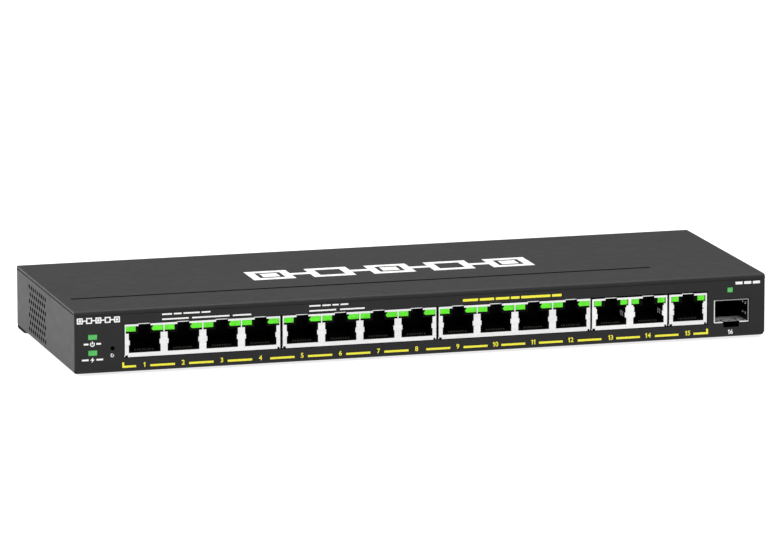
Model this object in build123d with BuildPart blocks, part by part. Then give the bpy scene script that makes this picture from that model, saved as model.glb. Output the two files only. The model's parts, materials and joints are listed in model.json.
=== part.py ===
"""Desktop network switch: a sheet-steel box with fifteen copper jacks and one optical slot.

Millimetres. The origin is on the plane the feet stand on, under the middle of the box.
+X is to the right seen from the front, +Y to the rear, +Z up. The jacks face -Y.
"""

from build123d import *
import os
from typing import NamedTuple

os.makedirs("parts", exist_ok=True)

# ---------------------------------------------------------------- box
WIDTH = 286.5
DEPTH = 101.0
HEIGHT = 26.0
FOOT_HEIGHT = 0.9
SHEET = 1.0
BASE = FOOT_HEIGHT
FLOOR = BASE + SHEET
FRONT = -DEPTH / 2
REAR = DEPTH / 2
LEFT = -WIDTH / 2
RIGHT = WIDTH / 2

CORNER_RADIUS = 0.4
BASE_BEND_RADIUS = 1.1
RELIEF = 1.25

COVER_FRONT_BEND = 1.6
COVER_REAR_BEND = 0.9
COVER_LIP = 1.8
LIP_GAP = 0.15
SIDE_SEAM = 0.45
WALL_TOP = HEIGHT - COVER_LIP - LIP_GAP
SIDE_WALL_TOP = HEIGHT - SHEET - SIDE_SEAM
REAR_NOTCH = 2.0
FLANGE = 0.8
FLANGE_GAP = 0.15
FLANGE_INSET = 4.0
FLANGE_BOTTOM = BASE + 21.9
FRONT_TAB_XS = (-90.0, -30.0, 30.0, 90.0)
FRONT_TAB_BOTTOM = BASE + 20.5
TAB_WIDTH = 12.0
REAR_TAB_REACH = 4.0
GROOVE_LEFT = LEFT + 4.5
GROOVE_RIGHT = LEFT + 246.4
GROOVE_Y = REAR - 75.0
GROOVE_WIDTH = 2.0
GROOVE_DEPTH = 0.55

# ---------------------------------------------------------------- board
BOARD_TOP = BASE + 5.85
BOARD_THICKNESS = 1.6
BOARD_BOTTOM = BOARD_TOP - BOARD_THICKNESS
BOARD_EDGE_GAP = 0.6
BOARD_LEFT = LEFT + SHEET + FLANGE + BOARD_EDGE_GAP
BOARD_RIGHT = RIGHT - SHEET - FLANGE - BOARD_EDGE_GAP
BOARD_FRONT = FRONT + SHEET + BOARD_EDGE_GAP
BOARD_REAR = REAR - SHEET - FLANGE - 2 * BOARD_EDGE_GAP
INSULATOR = 0.25

# ---------------------------------------------------------------- jacks
PORT_PITCH = 15.76
WINDOW_WIDTH = 12.9
WINDOW_BOTTOM = BASE + 7.5
WINDOW_SHOULDER = BASE + 15.3
SHIELD = 0.3
SHIELD_DEPTH = 25.4
HOUSING_DEPTH = 13.8
HOUSING_GAP = 0.05
PLUG_WIDTH = 11.9
PLUG_BOTTOM = BASE + 8.0
PLUG_TOP = BASE + 15.0
PLUG_DEPTH = 12.9
LATCH_WIDTH = 4.9
LATCH_DEPTH = 9.0
LIGHT_HEIGHT = 2.1
LIGHT_LENGTH = 11.5
LIGHT_GAP = 0.05
LIGHT_ROOF = 0.48
LIGHT_PROUD = 0.15
LIGHT_TIP = 0.7
TOP_STRIP = 0.8
LATCH_CUT = 1.2
CLIP = 1.3
CLIP_HEIGHT = 0.75
FINGER = 0.15
FINGER_WIDTH = 2.0
FINGER_LENGTH = 6.4
FINGER_BOTTOM = BASE + 10.5
FINGER_SLOT = (FRONT + 4.0, FRONT + 5.2)
FINGER_SLOT_HEIGHT = 1.4
MAGNETICS_CHAMFER = 0.6
BUMP_HEIGHT = 1.9
BUMP = 0.4
CONTACTS_PER_PORT = 8
CONTACT_PITCH = 1.016
CONTACT_WIDTH = 0.45
CONTACT = 0.25
CONTACT_LIFT = 2.15
CONTACT_LIP = FRONT + 1.3
CONTACT_TAIL = FRONT + 9.8


class Block(NamedTuple):
    """One gang of copper jacks under a common shield."""

    name: str
    left: float  # left edge, from the left side of the box
    width: float
    ports: int
    top: float  # top of the shield, above the underside of the chassis
    light_width: float
    light_inset: float  # from the middle of the post to the light
    upper_post: float  # width of a post beside the lights
    bumps: tuple  # heights of the spring bumps on the window's edges
    fingers: bool  # spring fingers on the cavity's side walls


WIDE_LIGHT = (4.1, 0.26, 0.46, (11.6,), False)
BLOCKS = (
    Block("1_4", 20.35, 63.5, 4, 18.95, *WIDE_LIGHT),
    Block("5_8", 84.75, 63.5, 4, 18.95, *WIDE_LIGHT),
    Block("9_12", 149.15, 63.5, 4, 18.95, *WIDE_LIGHT),
    Block("13_14", 213.3, 31.8, 2, 18.6, 3.0, 0.9, 1.3, (11.2, 13.6), True),
    Block("15", 245.85, 16.1, 1, 18.6, 3.0, 0.9, 1.3, (11.2, 13.6), False),
)
COPPER_CUTOUT_LEFT = LEFT + 20.05
COPPER_CUTOUT_RIGHT = LEFT + 262.25
COPPER_CUTOUT_BOTTOM = BASE + 5.55
COPPER_CUTOUT_TOP = BASE + 19.25

# ---------------------------------------------------------------- optical slot
CAGE_X = LEFT + 272.2
CAGE_WIDTH = 14.8
CAGE_TOP = BASE + 15.4
CAGE_REAR = FRONT + 48.0
CAGE_WALL = 0.4
CAGE_FOLD = 0.35
CAGE_CUTOUT_GAP = 0.3
LATCH_TAB_WIDTH = 5.8
LATCH_TAB_ROOT = FRONT + 6.9
LATCH_TAB = 0.3
LATCH_TAB_GAP = 0.7
LATCH_TAB_BOTTOM = BASE + 5.2
TAB_END_GAP = 0.25
TAB_FACE_INSET = 0.1
TAB_RISE = 0.05
CATCH_Y = 3.0
CATCH_RADIUS = 1.3
NOTCH_WIDTH = 6.6
NOTCH_BOTTOM = BASE + 4.0
OVAL_X = 5.4
OVAL_Y = FRONT + 3.2
OVAL_LENGTH = 3.4
OVAL_WIDTH = 1.8
ROOF_HOLES_Y = FRONT + 26.0
ROOF_HOLE_PITCH = 3.6
ROOF_HOLE_GRID = (3, 9)
ROOF_HOLE_RADIUS = 0.9
DIMPLE_DEPTHS = (2.2, 5.4)
DIMPLE_HEIGHTS = (BASE + 8.6, BASE + 12.7)
DIMPLE_RISE = 0.25
DIMPLE_SIZE = 0.9
CONNECTOR_WIDTH = 11.2
CONNECTOR_FRONT = FRONT + 37.5
CONNECTOR_REAR = FRONT + 45.5
CONNECTOR_HEIGHT = 5.4
CONNECTOR_WALL = 0.7
CONNECTOR_BACK = 2.5
CONNECTOR_MOUTH = (BOARD_TOP + 2.6, BOARD_TOP + 4.2)
CONNECTOR_GAP = 0.6

# ---------------------------------------------------------------- lights and reset
STATUS_X = LEFT + 7.45
STATUS_WIDTH = 3.7
STATUS_HEIGHT = 2.1
POWER_Z = BASE + 14.6
POE_Z = BASE + 8.25
SLOT_LIGHT_X = LEFT + 271.65
SLOT_LIGHT_WIDTH = 2.3
SLOT_LIGHT_HEIGHT = 2.0
SLOT_LIGHT_Z = BASE + 19.3
POWER_LAMP_Y = FRONT + 7.6
POE_LAMP_Y = FRONT + 3.6
SLOT_LAMP_X = RIGHT - 4.6
SLOT_LAMP_Y = FRONT + 3.0
PIPE_GAP = 0.05
PIPE_LEG = 2.0
PIPE_BEND = 1.6
LED_CHIP_SIZE = (1.8, 1.1)
LED_CHIP_HEIGHT = 0.7
PIPE_FOOT = BOARD_TOP + LED_CHIP_HEIGHT + 0.35
RESET_X = LEFT + 15.45
RESET_Z = BASE + 9.8
RESET_HOLE_RADIUS = 0.85
RESET_BODY_WIDTH = 6.2
RESET_BODY_FRONT = FRONT + 4.0
RESET_BODY_DEPTH = 4.2
RESET_BORE_DEPTH = 2.4
PLUNGER_RADIUS = 1.55
PLUNGER_CLEARANCE = 0.08
PLUNGER_FRONT = FRONT + 2.2
PLUNGER_ROOM = 0.4
PLUNGER_EDGE = 0.3

# ---------------------------------------------------------------- vents
VENT_RADIUS = 1.05
VENT_PITCH_Y = 3.55
VENT_PITCH_Z = 2.88
VENT_Y = REAR - 36.9
VENT_Z = BASE + 11.85
VENT_LONG_ROW = 9
VENT_ROWS = 7

# ---------------------------------------------------------------- rear wall and underside
SCREW_XS = (-125.0, 0.0, 125.0)
SCREW_Z = BASE + 17.5
SCREW_RADIUS = 1.25
SCREW_HEAD_RADIUS = 2.2
SCREW_LENGTH = 5.0
SCREW_GAP = 0.05
CROSS_WIDTH = 0.5
CROSS_LENGTH = 2.4
CROSS_DEPTH = 0.7
POWER_X = 104.0
POWER_JACK_Z = BOARD_TOP + 5.5
POWER_NOSE_RADIUS = 4.2
POWER_HOLE_GAP = 0.2
POWER_LENGTH = 14.6
POWER_BOX_END = REAR - SHEET - 0.2
POWER_BOX_WIDTH = 9.8
POWER_BOX_HEIGHT = 10.6
SOCKET_RADIUS = 3.15
SOCKET_DEPTH = 10.0
POWER_PIN_RADIUS = 1.25
POWER_PIN_SETBACK = 1.2
POWER_PIN_NOSE = 0.8
SPRING = 0.4
SPRING_WIDTH = 2.4
SPRING_GAP = 0.2
SPRING_SLOT_REACH = 0.6
SPRING_Y = (REAR - 9.4, REAR - 4.1)
LOCK_X = -112.0
LOCK_Z = BASE + 11.5
LOCK_WIDTH = 7.0
LOCK_HEIGHT = 3.0
LOCK_CORNER = 0.4
KEYHOLE_SPACING = 150.0
KEYHOLE_Y = -6.0
KEYHOLE_RADIUS = 4.0
KEYHOLE_SLOT_RADIUS = 2.2
KEYHOLE_TRAVEL = 8.0
FOOT_SIZE = 12.0
FOOT_RADIUS = 1.5
FOOT_CHAMFER = 0.25
FRONT_FOOT_INSET = (2.0, 6.0)
REAR_FOOT_INSET = (0.1, 0.1)
KEY_GAP = 0.1
KEY_ROOT = 0.4
KEY_CORNER = 0.3
STANDOFF_RADIUS = 2.75
STANDOFF_POINTS = [(x, y) for x in (-134.0, -45.0, 88.0) for y in (-18.0, 34.0)]
INSULATOR_MARGIN = 4.0
KEYHOLE_WINDOW = (14.0, 22.0)
BOARD_HOLE_RADIUS = 1.6
BOARD_SCREW_RADIUS = 1.5
BOARD_SCREW_LENGTH = 4.2
BOARD_HEAD_RADIUS = 2.75
BOARD_HEAD_HEIGHT = 1.4
BOARD_HEAD_EDGE = 0.5

# ---------------------------------------------------------------- parts on the board
CHIP_HEIGHT = 1.6
THERMAL_PAD = 0.5
PAD_SIZE = 14.0
FIN = 1.0
SINK_PLATE = 1.8
SWITCH_AT = [(-12.0, 4.0)]
PHY_AT = [(-80.0, 2.0), (52.0, 2.0)]
CONTROLLERS_AT = [(-108.0, 8.0), (20.0, 8.0)]
FLASH_AT = [(14.0, 30.0)]
CRYSTAL_AT = (-12.0, 30.0)
CRYSTAL_SIZE = (10.5, 4.4)
CRYSTAL_HEIGHT = 3.4
CRYSTAL_EDGE = 0.5
CAPACITORS_AT = [(78.0, 40.0), (66.0, 40.0), (66.0, 28.0), (122.0, 38.0)]
CAPACITOR_RADIUS = 5.0
CAPACITOR_HEIGHT = 13.0
CAPACITOR_EDGE = 0.6
INDUCTOR_AT = (104.0, 20.0)
INDUCTOR_SIZE = 12.0
INDUCTOR_CORNER = 2.0
INDUCTOR_HEIGHT = 6.0
INDUCTOR_CHAMFER = 0.6
FUSE_AT = (99.0, 31.5)
FUSE_SIZE = (6.0, 3.0)
FUSE_HEIGHT = 2.4


def save(part, name):
    """Labels a finished piece and writes its STEP file."""
    part.part.label = name
    export_step(part.part, f"parts/{name}.step")


def port_centres(block):
    """X of each port in a jack block, from left to right."""
    middle = LEFT + block.left + block.width / 2
    first = middle - (block.ports - 1) / 2 * PORT_PITCH
    return [first + index * PORT_PITCH for index in range(block.ports)]


def block_span(block, inset=0.0):
    """Lowest and highest X of a jack block, less an inset at each end."""
    return LEFT + block.left + inset, LEFT + block.left + block.width - inset


def slab(x_range, y_range, z_range, mode=Mode.ADD):
    """A box given by its lowest and highest X, Y and Z, in the current part."""
    sizes = [high - low for low, high in (x_range, y_range, z_range)]
    middle = [(low + high) / 2 for low, high in (x_range, y_range, z_range)]
    with Locations(tuple(middle)):
        Box(*sizes, mode=mode)


# ================================================================ enclosure
def vent_points():
    """Y and Z of each round vent: staggered rows, one hole fewer on every second row."""
    points = []
    for row in range(VENT_ROWS):
        holes = VENT_LONG_ROW - row % 2
        z = VENT_Z + (row - (VENT_ROWS - 1) / 2) * VENT_PITCH_Z
        start = VENT_Y - (holes - 1) / 2 * VENT_PITCH_Y
        points += [(start + hole * VENT_PITCH_Y, z) for hole in range(holes)]
    return points


def make_base_chassis():
    """Tray of floor and four walls, with the front panel's and the rear wall's cut-outs."""
    with BuildPart() as base:
        with BuildSketch(Plane.XY.offset(BASE)):
            Rectangle(WIDTH, DEPTH)
        extrude(amount=SIDE_WALL_TOP - BASE)
        fillet(base.faces().sort_by(Axis.Z)[0].edges(), BASE_BEND_RADIUS)
        fillet(base.edges().filter_by(Axis.Z), CORNER_RADIUS)
        with BuildSketch(Plane.XY.offset(FLOOR)):
            Rectangle(WIDTH - 2 * SHEET, DEPTH - 2 * SHEET)
        extrude(amount=HEIGHT, mode=Mode.SUBTRACT)
        # the front and rear walls stop lower than the sides, under the cover's lips
        for y_range in ((FRONT - SHEET, FRONT + SHEET), (REAR - SHEET, REAR + SHEET)):
            slab((LEFT, RIGHT), y_range, (WALL_TOP, HEIGHT), Mode.SUBTRACT)
        # a notch ends each side seam at the rear
        notch = (REAR - REAR_NOTCH, REAR + SHEET)
        slab((LEFT, RIGHT), notch, (WALL_TOP, HEIGHT), Mode.SUBTRACT)
        # square reliefs where two bends meet the floor
        with Locations(*[(x, y, BASE) for x in (LEFT, RIGHT) for y in (FRONT, REAR)]):
            Box(2 * RELIEF, 2 * RELIEF, 2 * RELIEF, mode=Mode.SUBTRACT)
        with BuildSketch(Plane.YZ.offset(LEFT - SHEET)):
            with Locations(*vent_points()):
                Circle(VENT_RADIUS)
        extrude(amount=WIDTH + 2 * SHEET, mode=Mode.SUBTRACT)
        # front panel: one long window for the copper jacks, one for the optical slot
        panel = (FRONT - SHEET, FRONT + 1.5 * SHEET)
        slab(
            (COPPER_CUTOUT_LEFT, COPPER_CUTOUT_RIGHT),
            panel,
            (COPPER_CUTOUT_BOTTOM, COPPER_CUTOUT_TOP),
            Mode.SUBTRACT,
        )
        half = CAGE_WIDTH / 2 + CAGE_CUTOUT_GAP
        cage_z = (BOARD_TOP - CAGE_CUTOUT_GAP, CAGE_TOP + CAGE_CUTOUT_GAP)
        slab((CAGE_X - half, CAGE_X + half), panel, cage_z, Mode.SUBTRACT)
        half = NOTCH_WIDTH / 2
        slab((CAGE_X - half, CAGE_X + half), panel, (NOTCH_BOTTOM, BOARD_TOP), Mode.SUBTRACT)
        with BuildSketch(Plane.XZ.offset(-FRONT - 1.5 * SHEET)):
            with Locations((STATUS_X, POWER_Z), (STATUS_X, POE_Z)):
                Rectangle(STATUS_WIDTH + 2 * PIPE_GAP, STATUS_HEIGHT + 2 * PIPE_GAP)
            with Locations((SLOT_LIGHT_X, SLOT_LIGHT_Z)):
                Rectangle(SLOT_LIGHT_WIDTH + 2 * PIPE_GAP, SLOT_LIGHT_HEIGHT + 2 * PIPE_GAP)
            with Locations((RESET_X, RESET_Z)):
                Circle(RESET_HOLE_RADIUS)
        extrude(amount=3 * SHEET, mode=Mode.SUBTRACT)
        # rear wall: power inlet, lock slot and countersunk screw holes
        with BuildSketch(Plane.XZ.offset(-REAR - SHEET)):
            with Locations((POWER_X, POWER_JACK_Z)):
                Circle(POWER_NOSE_RADIUS + POWER_HOLE_GAP)
            with Locations((LOCK_X, LOCK_Z)):
                RectangleRounded(LOCK_WIDTH, LOCK_HEIGHT, LOCK_CORNER)
        extrude(amount=2.5 * SHEET, mode=Mode.SUBTRACT)
        rear_face = Plane(origin=(0, REAR, SCREW_Z), x_dir=(1, 0, 0), z_dir=(0, 1, 0))
        with Locations(rear_face):
            with Locations(*[(x, 0) for x in SCREW_XS]):
                CounterSinkHole(SCREW_RADIUS + SCREW_GAP, SCREW_HEAD_RADIUS + SCREW_GAP, 3 * SHEET, 90)
        # keyholes for hanging the box on two wall screws
        with BuildSketch(Plane.XY.offset(BASE - SHEET)):
            with Locations(*[(side * KEYHOLE_SPACING / 2, KEYHOLE_Y) for side in (-1, 1)]):
                Circle(KEYHOLE_RADIUS)
            neck_y = KEYHOLE_Y + KEYHOLE_TRAVEL / 2
            with Locations(*[(side * KEYHOLE_SPACING / 2, neck_y) for side in (-1, 1)]):
                SlotCenterToCenter(KEYHOLE_TRAVEL, 2 * KEYHOLE_SLOT_RADIUS, rotation=90)
        extrude(amount=2.5 * SHEET, mode=Mode.SUBTRACT)
    save(base, "base_chassis")


def make_top_cover():
    """Cover plate with front and rear lips, flanges inside the side walls and screw tabs at the rear."""
    inner = SHEET + FLANGE_GAP
    full_width = (LEFT - SHEET, RIGHT + SHEET)
    underside = HEIGHT - SHEET
    with BuildPart() as cover:
        with BuildSketch(Plane.XY.offset(HEIGHT - COVER_LIP)):
            Rectangle(WIDTH, DEPTH)
        extrude(amount=COVER_LIP)
        fillet(cover.edges().group_by(Axis.Z)[-1].sort_by(Axis.Y)[0], COVER_FRONT_BEND)
        fillet(cover.edges().group_by(Axis.Z)[-1].sort_by(Axis.Y)[-1], COVER_REAR_BEND)
        inside = (FRONT + SHEET, REAR - SHEET)
        slab(full_width, inside, (HEIGHT - COVER_LIP, underside), Mode.SUBTRACT)
        with BuildSketch(Plane.XY.offset(HEIGHT)):
            with Locations(((GROOVE_LEFT + GROOVE_RIGHT) / 2, GROOVE_Y)):
                SlotOverall(GROOVE_RIGHT - GROOVE_LEFT, GROOVE_WIDTH)
        extrude(amount=-GROOVE_DEPTH, mode=Mode.SUBTRACT)
        # side flanges, just inside the side walls
        for x_range in (
            (LEFT + inner, LEFT + inner + FLANGE),
            (RIGHT - inner - FLANGE, RIGHT - inner),
        ):
            slab(x_range, (FRONT + FLANGE_INSET, REAR - FLANGE_INSET), (FLANGE_BOTTOM, underside))
        for x in FRONT_TAB_XS:
            slab(
                (x - TAB_WIDTH / 2, x + TAB_WIDTH / 2),
                (FRONT + inner, FRONT + inner + FLANGE),
                (FRONT_TAB_BOTTOM, underside),
            )
        for x in SCREW_XS:
            slab(
                (x - TAB_WIDTH / 2, x + TAB_WIDTH / 2),
                (REAR - inner - SHEET, REAR - inner),
                (SCREW_Z - REAR_TAB_REACH, underside),
            )
        with BuildSketch(Plane.XZ.offset(-REAR + inner)):
            with Locations(*[(x, SCREW_Z) for x in SCREW_XS]):
                Circle(SCREW_RADIUS)
        extrude(amount=1.5 * SHEET, mode=Mode.SUBTRACT)
    save(cover, "top_cover")


def make_cover_screws():
    """Countersunk screws that hold the cover at the rear, with cross recesses."""
    neck_y = REAR - SCREW_HEAD_RADIUS + SCREW_RADIUS
    with BuildPart() as screws:
        for x in SCREW_XS:
            with BuildSketch(Plane.YZ.offset(x)):
                with BuildLine():
                    Polyline(
                        (REAR, SCREW_Z),
                        (REAR, SCREW_Z + SCREW_HEAD_RADIUS),
                        (neck_y, SCREW_Z + SCREW_RADIUS),
                        (REAR - SCREW_LENGTH, SCREW_Z + SCREW_RADIUS),
                        (REAR - SCREW_LENGTH, SCREW_Z),
                        close=True,
                    )
                make_face()
            revolve(axis=Axis((x, REAR, SCREW_Z), (0, 1, 0)))
        with BuildSketch(Plane.XZ.offset(-REAR)):
            with Locations(*[(x, SCREW_Z) for x in SCREW_XS]):
                Rectangle(CROSS_LENGTH, CROSS_WIDTH)
                Rectangle(CROSS_WIDTH, CROSS_LENGTH)
        extrude(amount=CROSS_DEPTH, mode=Mode.SUBTRACT)
    save(screws, "cover_screws")


def make_feet():
    """Four soft pads under the floor: the front pair stands back, the rear pair fills its corners.

    Each rear pad has a small key that rises into the chassis's corner relief.
    """
    key = RELIEF - 2 * KEY_GAP
    for end, inset in (("front", FRONT_FOOT_INSET), ("rear", REAR_FOOT_INSET)):
        y_side = -1 if end == "front" else 1
        for side, x_side in (("left", -1), ("right", 1)):
            centre = (
                x_side * (WIDTH / 2 - inset[0] - FOOT_SIZE / 2),
                y_side * (DEPTH / 2 - inset[1] - FOOT_SIZE / 2),
            )
            with BuildPart() as foot:
                with BuildSketch(Plane.XY):
                    with Locations(centre):
                        RectangleRounded(FOOT_SIZE, FOOT_SIZE, FOOT_RADIUS)
                extrude(amount=FOOT_HEIGHT)
                chamfer(foot.faces().sort_by(Axis.Z)[0].edges(), FOOT_CHAMFER)
                if end == "rear":
                    corner = (x_side * (WIDTH / 2 - RELIEF / 2), REAR - RELIEF / 2)
                    with BuildSketch(Plane.XY.offset(KEY_ROOT)):
                        with Locations(corner):
                            RectangleRounded(key, key, KEY_CORNER)
                    extrude(amount=BASE + RELIEF - KEY_GAP - KEY_ROOT)
            save(foot, f"rubber_foot_{end}_{side}")


# ================================================================ board
def make_main_board():
    """Printed circuit board, notched under the optical slot's latch tab."""
    half = CAGE_WIDTH / 2 - CAGE_WALL
    notch_y = (FRONT, LATCH_TAB_ROOT + CAGE_WALL)
    with BuildPart() as board:
        slab((BOARD_LEFT, BOARD_RIGHT), (BOARD_FRONT, BOARD_REAR), (BOARD_BOTTOM, BOARD_TOP))
        slab((CAGE_X - half, CAGE_X + half), notch_y, (BOARD_BOTTOM, BOARD_TOP), Mode.SUBTRACT)
        with BuildSketch(Plane.XY.offset(BOARD_BOTTOM)):
            with Locations(*STANDOFF_POINTS):
                Circle(BOARD_HOLE_RADIUS)
        extrude(amount=BOARD_THICKNESS, mode=Mode.SUBTRACT)
    save(board, "main_board")


def make_insulator_sheet():
    """Thin film on the floor under the board, clear of standoffs and keyholes."""
    inset = SHEET + INSULATOR_MARGIN
    with BuildPart() as sheet:
        with BuildSketch(Plane.XY.offset(FLOOR)):
            Rectangle(WIDTH - 2 * inset, DEPTH - 2 * inset)
            with Locations(*STANDOFF_POINTS):
                Circle(STANDOFF_RADIUS + BOARD_EDGE_GAP, mode=Mode.SUBTRACT)
            window_y = KEYHOLE_Y + KEYHOLE_TRAVEL / 2
            with Locations(*[(side * KEYHOLE_SPACING / 2, window_y) for side in (-1, 1)]):
                Rectangle(*KEYHOLE_WINDOW, mode=Mode.SUBTRACT)
        extrude(amount=INSULATOR)
    save(sheet, "insulator_sheet")


def make_board_fixings():
    """Standoffs pressed into the floor, and the screws that hold the board on them."""
    with BuildPart() as standoffs:
        with BuildSketch(Plane.XY.offset(FLOOR)):
            with Locations(*STANDOFF_POINTS):
                RegularPolygon(STANDOFF_RADIUS, 6)
                Circle(BOARD_SCREW_RADIUS, mode=Mode.SUBTRACT)
        extrude(amount=BOARD_BOTTOM - FLOOR)
    save(standoffs, "board_standoffs")
    with BuildPart() as screws:
        with BuildSketch(Plane.XY.offset(BOARD_TOP)):
            with Locations(*STANDOFF_POINTS):
                Circle(BOARD_HEAD_RADIUS)
        extrude(amount=BOARD_HEAD_HEIGHT)
        fillet(screws.faces().group_by(Axis.Z)[-1].edges(), BOARD_HEAD_EDGE)
        with BuildSketch(Plane.XY.offset(BOARD_TOP)):
            with Locations(*STANDOFF_POINTS):
                Circle(BOARD_SCREW_RADIUS)
        extrude(amount=-BOARD_SCREW_LENGTH)
        with BuildSketch(Plane.XY.offset(BOARD_TOP + BOARD_HEAD_HEIGHT)):
            with Locations(*STANDOFF_POINTS):
                Rectangle(CROSS_LENGTH, CROSS_WIDTH)
                Rectangle(CROSS_WIDTH, CROSS_LENGTH)
        extrude(amount=-CROSS_DEPTH, mode=Mode.SUBTRACT)
    save(screws, "board_screws")


# ================================================================ copper jacks
def light_spans(block):
    """Lowest and highest X offset of the left and right light in one port."""
    outer = PORT_PITCH / 2 - block.light_inset
    return (-outer, block.light_width - outer), (outer - block.light_width, outer)


def make_jack_shield(block):
    """Folded tin shield round a block of jacks, open below, with a window for each port."""
    x_low, x_high = block_span(block)
    z_top = BASE + block.top
    face = (FRONT - SHIELD, FRONT + 2 * SHIELD)
    with BuildPart() as shield:
        slab((x_low, x_high), (FRONT, FRONT + SHIELD_DEPTH), (BOARD_TOP, z_top))
        fillet(shield.edges().filter_by(Axis.Z).group_by(Axis.Y)[0], SHIELD)
        slab(
            block_span(block, SHIELD),
            (FRONT + SHIELD, FRONT + SHIELD_DEPTH - SHIELD),
            (BOARD_TOP - SHIELD, z_top - SHIELD),
            Mode.SUBTRACT,
        )
        for x in port_centres(block):
            half = WINDOW_WIDTH / 2
            slab((x - half, x + half), face, (WINDOW_BOTTOM, WINDOW_SHOULDER), Mode.SUBTRACT)
            half = (PORT_PITCH - block.upper_post) / 2
            upper = (WINDOW_SHOULDER, z_top - TOP_STRIP)
            slab((x - half, x + half), face, upper, Mode.SUBTRACT)
            # the strip over the window is cut away above the latch
            half = LATCH_WIDTH / 2
            latch_cut = (z_top - TOP_STRIP, z_top + SHIELD)
            slab((x - half, x + half), (FRONT, FRONT + LATCH_CUT), latch_cut, Mode.SUBTRACT)
            for side in (-1, 1):
                edge = x + side * WINDOW_WIDTH / 2
                for z in block.bumps:
                    slab(
                        sorted((edge, edge - side * BUMP)),
                        (FRONT, FRONT + SHIELD),
                        (BASE + z - BUMP_HEIGHT / 2, BASE + z + BUMP_HEIGHT / 2),
                    )
                if block.fingers:
                    tip = x + side * (PLUG_WIDTH / 2 - HOUSING_GAP)
                    root = tip - side * FINGER
                    finger_z = (FINGER_BOTTOM, FINGER_BOTTOM + FINGER_WIDTH)
                    slab(sorted((root, tip)), (FRONT, FRONT + FINGER_LENGTH), finger_z)
                    slab(sorted((root, edge)), (FRONT, FRONT + SHIELD), finger_z)
                    slot_z = (FINGER_BOTTOM - SHIELD, FINGER_BOTTOM + FINGER_SLOT_HEIGHT)
                    slab(sorted((root, tip)), FINGER_SLOT, slot_z, Mode.SUBTRACT)
        # clipped lower corners
        for x_range in ((x_low, x_low + CLIP), (x_high - CLIP, x_high)):
            slab(x_range, face, (BOARD_TOP, BOARD_TOP + CLIP_HEIGHT), Mode.SUBTRACT)
    save(shield, f"jack_shield_{block.name}")


def make_jack_housing(block):
    """Black moulding with a plug cavity, a latch channel and two light pockets for each port."""
    front = FRONT + SHIELD + HOUSING_GAP
    z_top = BASE + block.top - SHIELD - HOUSING_GAP
    light_top = z_top - LIGHT_ROOF
    with BuildPart() as housing:
        slab(
            block_span(block, SHIELD + HOUSING_GAP),
            (front, front + HOUSING_DEPTH),
            (BOARD_TOP, z_top),
        )
        for x in port_centres(block):
            half = PLUG_WIDTH / 2
            plug_y = (front, front + PLUG_DEPTH)
            slab((x - half, x + half), plug_y, (PLUG_BOTTOM, PLUG_TOP), Mode.SUBTRACT)
            half = LATCH_WIDTH / 2
            latch_y = (front, front + LATCH_DEPTH)
            slab((x - half, x + half), latch_y, (PLUG_TOP, z_top), Mode.SUBTRACT)
            for low, high in light_spans(block):
                slab(
                    (x + low - LIGHT_GAP, x + high + LIGHT_GAP),
                    (front, front + LIGHT_LENGTH),
                    (light_top - LIGHT_HEIGHT - LIGHT_GAP, light_top + LIGHT_GAP),
                    Mode.SUBTRACT,
                )
    save(housing, f"jack_housing_{block.name}")


def make_jack_lights(block):
    """Two light guides for each port; in the wide-light blocks the right one has a pointed tip."""
    face = FRONT + SHIELD + HOUSING_GAP - LIGHT_PROUD
    back = FRONT + SHIELD + HOUSING_GAP + LIGHT_LENGTH
    z_high = BASE + block.top - SHIELD - HOUSING_GAP - LIGHT_ROOF
    z_low = z_high - LIGHT_HEIGHT
    pointed = block.light_width > 4
    with BuildPart() as lights:
        for x in port_centres(block):
            left, right = light_spans(block)
            for low, high in (left, right):
                slab((x + low, x + high), (face, back), (z_low, z_high))
            if pointed:
                with BuildSketch(Plane.XZ.offset(-face)):
                    with BuildLine():
                        Polyline(
                            (x + right[0], z_high - LIGHT_HEIGHT * 0.15),
                            (x + right[0] - LIGHT_TIP, z_high - LIGHT_HEIGHT * 0.6),
                            (x + right[0], z_low),
                            close=True,
                        )
                    make_face()
                extrude(amount=-LIGHT_PROUD)
    save(lights, f"jack_lights_{block.name}")


def make_jack_contacts(block):
    """Eight spring wires for each port, folded back from the front lip of the cavity floor."""
    rear = FRONT + SHIELD + HOUSING_GAP + PLUG_DEPTH
    low = PLUG_BOTTOM
    with BuildPart() as contacts:
        for x in port_centres(block):
            for index in range(CONTACTS_PER_PORT):
                offset = (index - (CONTACTS_PER_PORT - 1) / 2) * CONTACT_PITCH
                with BuildSketch(Plane.YZ.offset(x + offset)):
                    with BuildLine():
                        Polyline(
                            (rear, low),
                            (CONTACT_LIP, low),
                            (CONTACT_LIP, low + 2.5 * CONTACT),
                            (CONTACT_TAIL, low + CONTACT_LIFT + CONTACT),
                            (CONTACT_TAIL, low + CONTACT_LIFT),
                            (CONTACT_LIP + 2 * CONTACT, low + 1.4 * CONTACT),
                            (CONTACT_LIP + 2 * CONTACT, low + CONTACT),
                            (rear, low + CONTACT),
                            close=True,
                        )
                    make_face()
                extrude(amount=CONTACT_WIDTH / 2, both=True)
    save(contacts, f"jack_contacts_{block.name}")


def make_jack_magnetics(block):
    """Transformer module behind the housing, inside the same shield."""
    with BuildPart() as magnetics:
        slab(
            block_span(block, SHIELD + HOUSING_GAP),
            (
                FRONT + SHIELD + HOUSING_GAP + HOUSING_DEPTH,
                FRONT + SHIELD_DEPTH - SHIELD - HOUSING_GAP,
            ),
            (BOARD_TOP, BASE + block.top - SHIELD - HOUSING_GAP),
        )
        chamfer(magnetics.edges().filter_by(Axis.X).group_by(Axis.Z)[-1], MAGNETICS_CHAMFER)
    save(magnetics, f"jack_magnetics_{block.name}")


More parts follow.
